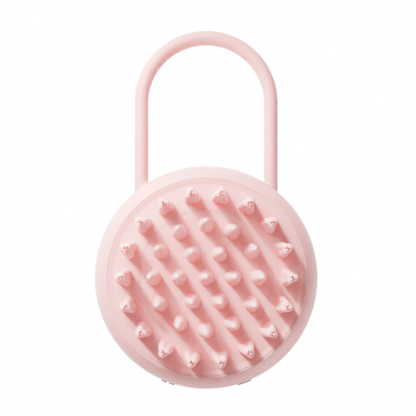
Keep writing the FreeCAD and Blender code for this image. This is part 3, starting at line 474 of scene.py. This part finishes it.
def make_finishes():
    """One finish for each material slot, given by its colour and the colour of its clouds. Over them go a
    painted highlight on the shell's lip, painted fill light up the bristles and painted shade between the
    trefoils' prongs.
    """
    group = moulding_group()
    finishes = {
        "pink_shell": moulded("soft_touch_pink", (0.89, 0.36, 0.345), (0.87, 0.325, 0.31), group,
                              gloss=(0.34, 0.42), glow=3.0),
        "pink_loop": moulded("loop_pink", (0.835, 0.315, 0.3), (0.815, 0.285, 0.27), group,
                             gloss=(0.46, 0.56), glow=3.0),
        "pink_silicone": moulded("silicone_pink", (0.905, 0.385, 0.37), (0.885, 0.345, 0.33), group,
                                 gloss=(0.4, 0.5), glow=2.5),
        "pink_keys": moulded("key_pink", (0.78, 0.24, 0.23), (0.74, 0.21, 0.2), group),
        "seal_rubber": moulded("seal_rubber", (0.02, 0.02, 0.022), (0.03, 0.03, 0.03), group,
                               gloss=(0.6, 0.75)),
        "screw_steel": moulded("screw_steel", (0.42, 0.42, 0.43), (0.3, 0.3, 0.31), group,
                               gloss=(0.25, 0.4), metallic=1.0, cloud=(400.0, 0.5)),
        "motor_steel": moulded("drawn_steel", (0.5, 0.5, 0.51), (0.4, 0.4, 0.41), group,
                               gloss=(0.3, 0.42), metallic=1.0, cloud=(250.0, 0.5)),
        "bush_brass": moulded("sintered_bronze", (0.45, 0.28, 0.1), (0.3, 0.18, 0.06), group,
                              gloss=(0.4, 0.55), metallic=1.0, cloud=(900.0, 0.6)),
        "coil_copper": moulded("enamelled_copper", (0.45, 0.12, 0.04), (0.3, 0.07, 0.02), group,
                               gloss=(0.2, 0.32), metallic=1.0, cloud=(700.0, 0.6)),
        "magnet_metal": moulded("nickel_plate", (0.5, 0.49, 0.47), (0.42, 0.41, 0.39), group,
                                gloss=(0.14, 0.22), metallic=1.0),
        "cell_wrap": moulded("cell_wrap", (0.09, 0.15, 0.27), (0.07, 0.12, 0.22), group,
                             gloss=(0.3, 0.42)),
        "foam_grey": moulded("foam_grey", (0.07, 0.07, 0.075), (0.04, 0.04, 0.045), group,
                             gloss=(0.8, 0.95), grain=1800.0, relief=0.6),
        "inner_plastic": moulded("inner_plastic", (0.64, 0.64, 0.6), (0.58, 0.58, 0.54), group,
                                 gloss=(0.4, 0.5)),
        "lead_cover": moulded("lead_cover", (0.27, 0.01, 0.01), (0.2, 0.01, 0.01), group,
                              gloss=(0.35, 0.45)),
        "board_green": moulded("board_green", (0.005, 0.075, 0.022), (0.004, 0.05, 0.016), group,
                               gloss=(0.2, 0.3), cloud=(500.0, 0.7)),
        "chip_black": moulded("chip_black", (0.004, 0.004, 0.004), (0.008, 0.008, 0.008), group,
                              gloss=(0.5, 0.6)),
        "socket_white": moulded("socket_white", (0.75, 0.73, 0.68), (0.68, 0.66, 0.6), group,
                                gloss=(0.4, 0.5)),
        "contact_gold": moulded("contact_gold", (0.66, 0.39, 0.11), (0.55, 0.3, 0.08), group,
                                gloss=(0.18, 0.3), metallic=1.0, cloud=(800.0, 0.5)),
    }
    ring = ring_mask_group()
    # Painted highlight: a paler ring along the crest of the shell's lip
    ringed(finishes["pink_shell"], ring, (0.92, 0.44, 0.42), LIP_INNER + LIP_HIGHLIGHT, LIP_HIGHLIGHT,
           LIP_HEIGHT, LIP_HIGHLIGHT_DEPTH)
    brim = FACE_HEIGHT + BAND_RISE
    # Painted fill light: the bristles lighter upwards from the brim, standing in for light on their shaded
    # sides
    painted_light_upwards(finishes["pink_silicone"], (0.04, 0.18, 0.18), brim, brim + PAINTED_LIGHT_RISE)
    # Painted shade: dark spots between the prongs on each trefoil's top
    ringed(finishes["pink_silicone"], ring, (0.3, 0.18, 0.17), TREFOIL_ROW - TREFOIL_LEAN, GAP_SHADE_SPOT,
           FACE_HEIGHT + TREFOIL_TOP + GAP_SHADE_RISE, GAP_SHADE_DEPTH, TREFOIL_COUNT, GAP_SHADE_SPOT)
    return finishes


# Body

def make_rim():
    """Front shell: convex rim with a rounded lip, shelf and well."""
    bm = bmesh.new()
    v = bm.verts.new(millimetres(SHAFT_HOLE, 0, SPLIT_HEIGHT))
    for x, z in ((SHAFT_HOLE, WELL_FLOOR), (WELL_RADIUS, WELL_FLOOR), (WELL_RADIUS, SHELF_HEIGHT),
                 (LIP_INNER, SHELF_HEIGHT)):
        v = line_to(bm, v, x, z)
    reach = BACK_ROUND - LIP_FILLET
    across = LIP_INNER + LIP_FILLET - FLAT_RADIUS
    centre = (LIP_INNER + LIP_FILLET, BACK_ROUND + math.sqrt(reach ** 2 - across ** 2))
    v = line_to(bm, v, LIP_INNER, centre[1])
    lean = math.degrees(math.asin(across / reach))
    v = arc_to(bm, v, centre, 90 + lean, LIP_FACETS)
    low = math.degrees(math.asin((SPLIT_HEIGHT + SPLIT_GROOVE - BACK_ROUND) / BACK_ROUND))
    v = arc_to(bm, v, (FLAT_RADIUS, BACK_ROUND), 90 - lean - low, RIM_FACETS)
    for x, z in ((GROOVE_RADIUS, SPLIT_HEIGHT), (TONGUE_OUTER, SPLIT_HEIGHT),
                 (TONGUE_OUTER, SPLIT_HEIGHT - TONGUE_DEPTH), (TONGUE_INNER, SPLIT_HEIGHT - TONGUE_DEPTH),
                 (TONGUE_INNER, SHELF_HEIGHT - RIM_WALL), (WELL_OUTSIDE, SHELF_HEIGHT - RIM_WALL),
                 (WELL_OUTSIDE, SPLIT_HEIGHT), (SHAFT_HOLE, SPLIT_HEIGHT)):
        v = line_to(bm, v, x, z)
    lathe(bm, BODY_FACETS)
    worn(finished(bm, "rim"), "case", "pink_shell", "front_shell")


def rounded_bar(name, side, width, grow, angle):
    """Bar with rounded corners that points out of the body, turned to its place round the axis."""
    bm = bmesh.new()
    start, end = BUTTON_BACK, BODY_RADIUS + BUTTON_OVER
    bmesh.ops.create_cube(bm, size=MM)
    bmesh.ops.scale(bm, verts=bm.verts[:], vec=(end - start, width + 2 * grow, BUTTON_TALL + 2 * grow))
    along = [e for e in bm.edges if abs((e.verts[0].co - e.verts[1].co).normalized().x) > ALONG]
    bmesh.ops.bevel(bm, geom=along, offset=(BUTTON_CORNER + grow) * MM, offset_type="OFFSET", affect="EDGES",
                    segments=CORNER_FACETS, profile=0.5, material=-1)
    bmesh.ops.translate(bm, verts=bm.verts[:], vec=millimetres((start + end) / 2, side, BUTTON_MIDDLE))
    turn = Matrix.Rotation(math.radians(angle), 3, "Z")
    bmesh.ops.rotate(bm, verts=bm.verts[:], cent=(0, 0, 0), matrix=turn)
    return finished(bm, name)


def rod(name, radius, start, end):
    """Plain round tool between two points."""
    bm = bmesh.new()
    start, end = millimetres(*start), millimetres(*end)
    bmesh.ops.create_cone(bm, cap_ends=True, segments=HOLE_FACETS, radius1=radius * MM, radius2=radius * MM,
                          depth=(end - start).length)
    turn = UP.rotation_difference(end - start).to_matrix()
    bmesh.ops.rotate(bm, verts=bm.verts[:], cent=(0, 0, 0), matrix=turn)
    bmesh.ops.translate(bm, verts=bm.verts[:], vec=(start + end) / 2)
    return finished(bm, name)


def make_cup():
    """Rear shell: flat back with a rounded edge, and windows for the buttons, the legs and the contacts."""
    bm = bmesh.new()
    v = bm.verts.new(millimetres(0, 0, 0))
    v = line_to(bm, v, FLAT_RADIUS, 0)
    high = math.degrees(math.asin((SPLIT_HEIGHT - SPLIT_GROOVE - BACK_ROUND) / BACK_ROUND))
    v = arc_to(bm, v, (FLAT_RADIUS, BACK_ROUND), -90 - high, BACK_FACETS)
    inner = BODY_RADIUS - WALL
    for x, z in ((GROOVE_RADIUS, SPLIT_HEIGHT), (inner, SPLIT_HEIGHT), (inner, BACK_ROUND)):
        v = line_to(bm, v, x, z)
    v = arc_to(bm, v, (FLAT_RADIUS, BACK_ROUND), 90, INSIDE_FACETS)
    line_to(bm, v, 0, WALL)
    lathe(bm, BODY_FACETS)
    cup = finished(bm, "cup")
    tools = [rounded_bar(name, side, width, BUTTON_PLAY, angle) for name, angle, side, width in BUTTONS]
    tools += [rod("leg", LOOP_RADIUS + LEG_PLAY, (x, LEG_END, LOOP_HEIGHT), (x, BODY_RADIUS, LOOP_HEIGHT))
              for x in (-LOOP_OFFSET, LOOP_OFFSET)]
    tools += [rod("contact", CONTACT_HOLE, (x, CONTACT_ROW, -HOLE_OVER), (x, CONTACT_ROW, WALL + HOLE_OVER))
              for x in (-CONTACT_SIDE, CONTACT_SIDE)]
    worn(combined(cup, tools, "DIFFERENCE"), "case", "pink_shell", "rear_shell")


def body_front(x, z):
    """Y of the body's surface on the loop's side."""
    ring = FLAT_RADIUS + math.sqrt(BACK_ROUND ** 2 - (z - BACK_ROUND) ** 2)
    return math.sqrt(ring ** 2 - x ** 2)


def beside_leg(x, out, radius):
    """Point of the body's surface in a direction from a leg's axis."""
    aside, height = x + radius * out.x, LOOP_HEIGHT + radius * out.z
    return Vector((aside, body_front(aside, height), height))


def flare_section(x, turn):
    """Section of a leg's fillet in one direction: from the shell to the leg, and back below both skins."""
    out = Vector((math.cos(turn), 0, math.sin(turn)))
    root = beside_leg(x, out, LOOP_RADIUS)
    slope = (beside_leg(x, out, LOOP_RADIUS + FLARE_PROBE) - root).normalized()
    opening = math.acos(max(-1.0, min(1.0, slope.y)))
    reach = FLARE_ROUND / math.tan(opening / 2)
    foot = beside_leg(x, out, LOOP_RADIUS + reach * math.sin(opening))
    top = root + Vector((0, reach, 0))
    points = []
    for number in range(FLARE_RINGS):
        t = number / (FLARE_RINGS - 1)
        points.append(foot * (1 - t) ** 2 + root * 2 * t * (1 - t) + top * t ** 2)
    inside = -FLARE_INSIDE * out
    points += [top + inside, root + inside - Vector((0, FLARE_ROOT, 0)), foot - Vector((0, FLARE_FOOT, 0))]
    return points


def make_leg_flares():
    """Fillet between each leg and the shell, wide where they meet at a narrow angle."""
    bm = bmesh.new()
    for x in (-LOOP_OFFSET, LOOP_OFFSET):
        sections = [flare_section(x, 2 * math.pi * corner / FLARE_FACETS) for corner in range(FLARE_FACETS)]
        rings = []
        for points in zip(*sections):
            ring = bmesh.ops.create_circle(bm, segments=FLARE_FACETS, radius=MM)["verts"]
            for vert, point in zip(ring, points):
                vert.co = point * MM
            rings.append(set(ring))
        edges = [[e for e in bm.edges if set(e.verts) <= ring] for ring in rings]
        for near, far in zip(edges, edges[1:] + edges[:1]):
            bmesh.ops.bridge_loops(bm, edges=near + far)
    tidy(bm)
    worn(finished(bm, "leg_flares", SHARP_FLARE), "case", "pink_silicone", "leg_grommets")


def make_loop():
    """Loop handle: one round rod with two straight legs and a half-round bow."""
    bm = bmesh.new()
    ring = bmesh.ops.create_circle(bm, segments=LOOP_FACETS, radius=LOOP_RADIUS * MM)["verts"]
    bmesh.ops.rotate(bm, verts=ring, cent=(0, 0, 0), matrix=Matrix.Rotation(math.radians(90), 3, "X"))
    bmesh.ops.translate(bm, verts=ring, vec=millimetres(LOOP_OFFSET, LEG_END, LOOP_HEIGHT))
    edges = bm.edges[:]
    bmesh.ops.contextual_create(bm, geom=edges)
    edges = extruded(bm, edges, millimetres(0, LOOP_BOW - LEG_END, 0))
    bow = bmesh.ops.spin(bm, geom=edges, cent=millimetres(0, LOOP_BOW, LOOP_HEIGHT), axis=UP,
                         angle=math.pi, steps=BOW_FACETS, use_merge=False)
    edges = [e for e in bow["geom_last"] if isinstance(e, bmesh.types.BMEdge)]
    edges = extruded(bm, edges, millimetres(0, LEG_END - LOOP_BOW, 0))
    bmesh.ops.contextual_create(bm, geom=edges)
    tidy(bm)
    worn(finished(bm, "loop"), "case", "pink_loop", "loop_handle")


# Silicone face

def pad_profile(bm, inner, points):
    """Section of a pad, from its lower inner corner round; it is left open on the axis."""
    v = first = bm.verts.new(millimetres(inner, 0, SHELF_HEIGHT))
    for x, z in points:
        v = line_to(bm, v, x, z)
    if inner:
        bm.edges.new((v, first))


def cone_bristle(bm):
    """Cone with a filleted foot and a rounded tip, at the origin, standing on the face."""
    slope = math.atan((CONE_RADIUS - CONE_TIP) / (BRISTLE_LENGTH - CONE_TIP))
    v = bm.verts.new(millimetres(0, 0, FACE_HEIGHT - BRISTLE_ROOT))
    v = line_to(bm, v, CONE_RADIUS + FOOT_FILLET, FACE_HEIGHT - BRISTLE_ROOT)
    v = line_to(bm, v, CONE_RADIUS + FOOT_FILLET, FACE_HEIGHT)
    turn = 90 - math.degrees(slope)
    v = arc_to(bm, v, (CONE_RADIUS + FOOT_FILLET, FACE_HEIGHT + FOOT_FILLET), turn, FOOT_FACETS)
    tip = FACE_HEIGHT + BRISTLE_LENGTH - CONE_TIP
    v = line_to(bm, v, CONE_TIP * math.cos(slope), tip + CONE_TIP * math.sin(slope))
    arc_to(bm, v, (0, tip), -turn, TIP_FACETS)
    lathe(bm, CONE_FACETS)


def make_bristle_disc():
    """Swinging disc with a cone in the middle and two rows of cones round it."""
    pad = bmesh.new()
    edge = RING_INNER - SLIT
    pad_profile(pad, 0, ((DISC_RADIUS, SHELF_HEIGHT), (edge, FACE_HEIGHT - DISC_EDGE_DEPTH),
                         (edge, FACE_HEIGHT - PAD_STEP), (edge - DISC_SLOPE, FACE_HEIGHT), (0, FACE_HEIGHT)))
    lathe(pad, BODY_FACETS)
    cones = bmesh.new()
    cone_bristle(cones)
    middle = cones.verts[:] + cones.edges[:] + cones.faces[:]
    for row, count in CONE_ROWS:
        copy = bmesh.ops.duplicate(cones, geom=middle)["geom"]
        bmesh.ops.translate(cones, verts=[g for g in copy if isinstance(g, bmesh.types.BMVert)],
                            vec=millimetres(row, 0, 0))
        repeat_round(cones, copy, count)
    disc = combined(finished(pad, "bristle_disc_skin"), [finished(cones, "cones")], "UNION", SHARP_BRISTLES)
    worn(disc, "head", "pink_silicone", "bristle_disc")


def trefoil_reach(turn):
    """Radius of the three-lobed section in a direction, in degrees from a lobe."""
    half = TREFOIL_PITCH / 2
    turn = abs((turn + half) % TREFOIL_PITCH - half)
    over = TREFOIL_SIDE ** 2 + TREFOIL_SPREAD ** 2 - TREFOIL_SPREAD * TREFOIL_SIDE - TREFOIL_LOBE ** 2
    round_side = over / (2 * TREFOIL_LOBE + TREFOIL_SPREAD - 2 * TREFOIL_SIDE)
    away = round_side + TREFOIL_SIDE
    lobe = Vector((TREFOIL_SPREAD, 0))
    hollow = Vector((away * math.cos(math.radians(half)), away * math.sin(math.radians(half))))
    joint = lobe + (hollow - lobe) * TREFOIL_LOBE / (TREFOIL_LOBE + round_side)
    if turn <= math.degrees(math.atan2(joint.y, joint.x)):
        side = TREFOIL_SPREAD * math.sin(math.radians(turn))
        return TREFOIL_SPREAD * math.cos(math.radians(turn)) + math.sqrt(TREFOIL_LOBE ** 2 - side ** 2)
    side = away * math.sin(math.radians(half - turn))
    return away * math.cos(math.radians(half - turn)) - math.sqrt(round_side ** 2 - side ** 2)


def trefoil_levels():
    """Heights of a three-lobed stem's sections, each with how far it stands outside the plain taper."""
    levels = [(-BRISTLE_ROOT, FOOT_FILLET), (0.0, FOOT_FILLET)]
    for degrees in TREFOIL_FOOT_TURNS:
        turn = math.radians(degrees)
        levels.append((FOOT_FILLET * (1 - math.cos(turn)), FOOT_FILLET * (1 - math.sin(turn))))
    for number in range(1, TREFOIL_LEVELS + 1):
        levels.append(((TREFOIL_TOP - TREFOIL_ROUND) * number / TREFOIL_LEVELS, 0.0))
    for degrees in TREFOIL_TOP_TURNS:
        turn = math.radians(degrees)
        height = TREFOIL_TOP - TREFOIL_ROUND * (1 - math.sin(turn))
        levels.append((height, TREFOIL_ROUND * (math.cos(turn) - 1)))
    return levels


def trefoil_stem():
    """One leaning three-lobed stem with a filleted foot and a rounded top, as an object."""
    bm = bmesh.new()
    verts = bmesh.ops.create_circle(bm, segments=TREFOIL_FACETS, radius=MM)["verts"]
    for corner, vert in enumerate(verts):
        degrees = 360 * corner / TREFOIL_FACETS
        turn = math.radians(degrees)
        reach = trefoil_reach(degrees)
        vert.co = millimetres(reach * math.cos(turn), reach * math.sin(turn), 0)
    shape = [v.co.copy() for v in verts]
    edges = bm.edges[:]
    bmesh.ops.contextual_create(bm, geom=edges)
    for number, (height, flare) in enumerate(trefoil_levels()):
        if number:
            edges = extruded(bm, edges, (0, 0, 0))
            fresh = {v.co.to_tuple(): v for e in edges for v in e.verts}
            verts = [fresh[v.co.to_tuple()] for v in verts]
        share = 1 - (1 - TREFOIL_TAPER) * (max(height, 0) / TREFOIL_TOP)
        for vert, flat in zip(verts, shape):
            grown = flat * share + flat.normalized() * flare * MM
            vert.co = grown + millimetres(0, 0, height)
    bmesh.ops.contextual_create(bm, geom=edges)
    tidy(bm)
    for vert in bm.verts:
        vert.co.x -= TREFOIL_LEAN * MM * max(vert.co.z / MM, 0) / TREFOIL_TOP
    bmesh.ops.translate(bm, verts=bm.verts[:], vec=millimetres(TREFOIL_ROW, 0, FACE_HEIGHT))
    return finished(bm, "trefoil")


def trefoil_bristle():
    """One three-lobed bristle with its rounded prongs, as an object."""
    stem = trefoil_stem()
    prongs = []
    for number in range(TREFOIL_LOBES):
        turn = math.radians(TREFOIL_PITCH * number)
        bm = bmesh.new()
        bmesh.ops.create_uvsphere(bm, u_segments=PRONG_FACETS, v_segments=PRONG_RINGS, radius=MM)
        bmesh.ops.scale(bm, verts=bm.verts[:], vec=(PRONG_RADIUS, PRONG_RADIUS, PRONG_LENGTH))
        bmesh.ops.translate(bm, verts=bm.verts[:], vec=millimetres(
            TREFOIL_ROW - TREFOIL_LEAN + PRONG_SPREAD * math.cos(turn), PRONG_SPREAD * math.sin(turn),
            FACE_HEIGHT + TREFOIL_TOP))
        prongs.append(finished(bm, "prong"))
    return combined(stem, prongs, "UNION")


def make_bristle_ring():
    """Fixed ring with a sloping band at its edge and a row of three-lobed bristles."""
    pad = bmesh.new()
    edge, brim = LIP_INNER - SEAM, FACE_HEIGHT + BAND_RISE
    drop = BAND_CREASE * BAND_RISE / (BAND_OUTER - BAND_INNER)
    pad_profile(pad, RING_INNER, (
        (RING_OUTER, SHELF_HEIGHT), (RING_OUTER, brim - RING_EDGE_FOOT), (edge, brim - RING_EDGE_DEPTH),
        (edge, brim - RING_CHAMFER), (edge - RING_CHAMFER, brim), (BAND_OUTER + BAND_CREASE, brim),
        (BAND_OUTER - BAND_CREASE, brim - drop), (BAND_INNER + BAND_CREASE, FACE_HEIGHT + drop),
        (BAND_INNER - BAND_CREASE, FACE_HEIGHT), (RING_INNER + PAD_STEP, FACE_HEIGHT),
        (RING_INNER, FACE_HEIGHT - PAD_STEP)))
    lathe(pad, BODY_FACETS)
    one = trefoil_bristle()
    row = bmesh.new()
    row.from_mesh(one.data)
    bpy.data.objects.remove(one)
    repeat_round(row, row.verts[:] + row.edges[:] + row.faces[:], TREFOIL_COUNT)
    ring = combined(finished(pad, "bristle_ring_skin"), [finished(row, "trefoils")], "UNION", SHARP_BRISTLES)
    worn(ring, "case", "pink_silicone", "bristle_ring")


# Buttons

def make_buttons():
    """Side buttons: rounded caps that follow the body and stand a little proud of it."""
    low = BUTTON_MIDDLE - SKIN_HALF
    start = math.asin((low - BACK_ROUND) / BACK_ROUND)
    reach = BACK_ROUND + BUTTON_PROUD
    for name, angle, side, width in BUTTONS:
        bm = bmesh.new()
        v = bm.verts.new(millimetres(0, 0, low))
        v = line_to(bm, v, SKIN_INNER, low)
        v = line_to(bm, v, FLAT_RADIUS + reach * math.cos(start), BACK_ROUND + reach * math.sin(start))
        v = arc_to(bm, v, (FLAT_RADIUS, BACK_ROUND), 2 * math.degrees(start), SKIN_FACETS)
        line_to(bm, v, 0, v.co.z / MM)
        lathe(bm, BODY_FACETS)
        skin = finished(bm, "skin")
        cap = rounded_bar(name + "_cap", side, width, 0, angle)
        worn(combined(cap, [skin], "INTERSECT"), name + "_key", "pink_keys", name + "_button")


# Stage, lights and camera

def make_stage():
    """Plain pale floor, seen as white and lighting the part from below as a matt surface."""
    bm = bmesh.new()
    bmesh.ops.create_grid(bm, x_segments=1, y_segments=1, size=FLOOR_HALF)
    floor = finished(bm, "floor")
    material = bpy.data.materials.new("pale_floor")
    material.use_nodes = True
    tree = material.node_tree
    shader = tree.nodes["Principled BSDF"]
    shader.inputs["Specular IOR Level"].default_value = 0.0
    shader.inputs["Emission Strength"].default_value = 1.0
    seen = tree.nodes.new("ShaderNodeLightPath")
    for socket, lit, plain in (("Base Color", FLOOR_TONE, 0.0), ("Emission Color", FLOOR_GLOW, 1.0)):
        mix = tree.nodes.new("ShaderNodeMix")
        mix.data_type = "RGBA"
        mix.inputs[6].default_value = (lit, lit, lit, 1)
        mix.inputs[7].default_value = (plain, plain, plain, 1)
        link(tree, seen.outputs["Is Camera Ray"], mix.inputs["Factor"])
        link(tree, mix.outputs[2], shader.inputs[socket])
    floor.data.materials.append(material)


def make_world():
    """Even white light from all round, shown brighter than it lights."""
    world = bpy.data.worlds.new("studio")
    world.use_nodes = True
    tree = world.node_tree
    sky = tree.nodes["Background"]
    sky.inputs["Color"].default_value = (1, 1, 1, 1)
    seen = tree.nodes.new("ShaderNodeLightPath")
    pale = tree.nodes.new("ShaderNodeMath")
    pale.operation = "MULTIPLY_ADD"
    pale.inputs[1].default_value = WORLD_SHOWN_MORE
    pale.inputs[2].default_value = WORLD_LIGHT
    link(tree, seen.outputs["Is Camera Ray"], pale.inputs[0])
    link(tree, pale.outputs[0], sky.inputs["Strength"])
    bpy.context.scene.world = world


def make_lights():
    """Sun from the upper left with a soft panel near it, and a low card at the lower right."""
    sun = bpy.data.lights.new("key", "SUN")
    sun.energy = SUN_POWER
    sun.angle = math.radians(SUN_SPREAD)
    lamp = bpy.data.objects.new("key", sun)
    turn, height = math.radians(SUN_TURN), math.radians(SUN_HEIGHT)
    towards = Vector((math.cos(turn) * math.cos(height), math.sin(turn) * math.cos(height), math.sin(height)))
    lamp.rotation_euler = towards.to_track_quat("Z", "Y").to_euler()
    lamp.location = towards
    bpy.context.collection.objects.link(lamp)
    for name, power, size, degrees, away, height in PANELS:
        panel = bpy.data.lights.new(name, "AREA")
        panel.energy = power
        panel.size = size
        lamp = bpy.data.objects.new(name, panel)
        turn = math.radians(degrees)
        seat = Vector((math.cos(turn) * away, math.sin(turn) * away, height))
        lamp.rotation_euler = (seat - PANEL_AIM).to_track_quat("Z", "Y").to_euler()
        lamp.location = seat
        bpy.context.collection.objects.link(lamp)


def make_camera():
    """Camera straight above the face, with the picture shifted towards the loop."""
    camera = bpy.data.cameras.new("camera")
    camera.lens = CAMERA_LENS
    camera.sensor_width = CAMERA_SENSOR
    camera.shift_x, camera.shift_y = CAMERA_SHIFT
    camera.clip_start = CAMERA_NEAR
    seat = bpy.data.objects.new("camera", camera)
    seat.location = (0, 0, CAMERA_HEIGHT)
    bpy.context.collection.objects.link(seat)
    bpy.context.scene.camera = seat


def set_tone():
    """Bright studio exposure, with the highlights opened up to white."""
    tone = bpy.context.scene.view_settings
    tone.view_transform = "Filmic"
    tone.look = "High Contrast"
    tone.exposure = EXPOSURE
    tone.use_curve_mapping = True
    tone.curve_mapping.use_clip = False
    tone.curve_mapping.extend = "EXTRAPOLATED"
    curve = tone.curve_mapping.curves[3]
    curve.points[1].location = (1.0, HIGHLIGHT_TOP)
    curve.points.new(HIGHLIGHT_KNEE, HIGHLIGHT_KNEE)
    for point in curve.points:
        point.handle_type = "VECTOR"
    tone.curve_mapping.update()


FINISHES = make_finishes()
for part in frame["record"]["subparts"]:
    shown = frame["nodes"][part["node"]]
    shown.data.materials.clear()
    shown.data.materials.append(FINISHES[part["material_slot"]])
make_rim()
make_cup()
make_leg_flares()
make_loop()
make_bristle_disc()
make_bristle_ring()
make_buttons()
make_stage()
make_world()
make_lights()
make_camera()
set_tone()
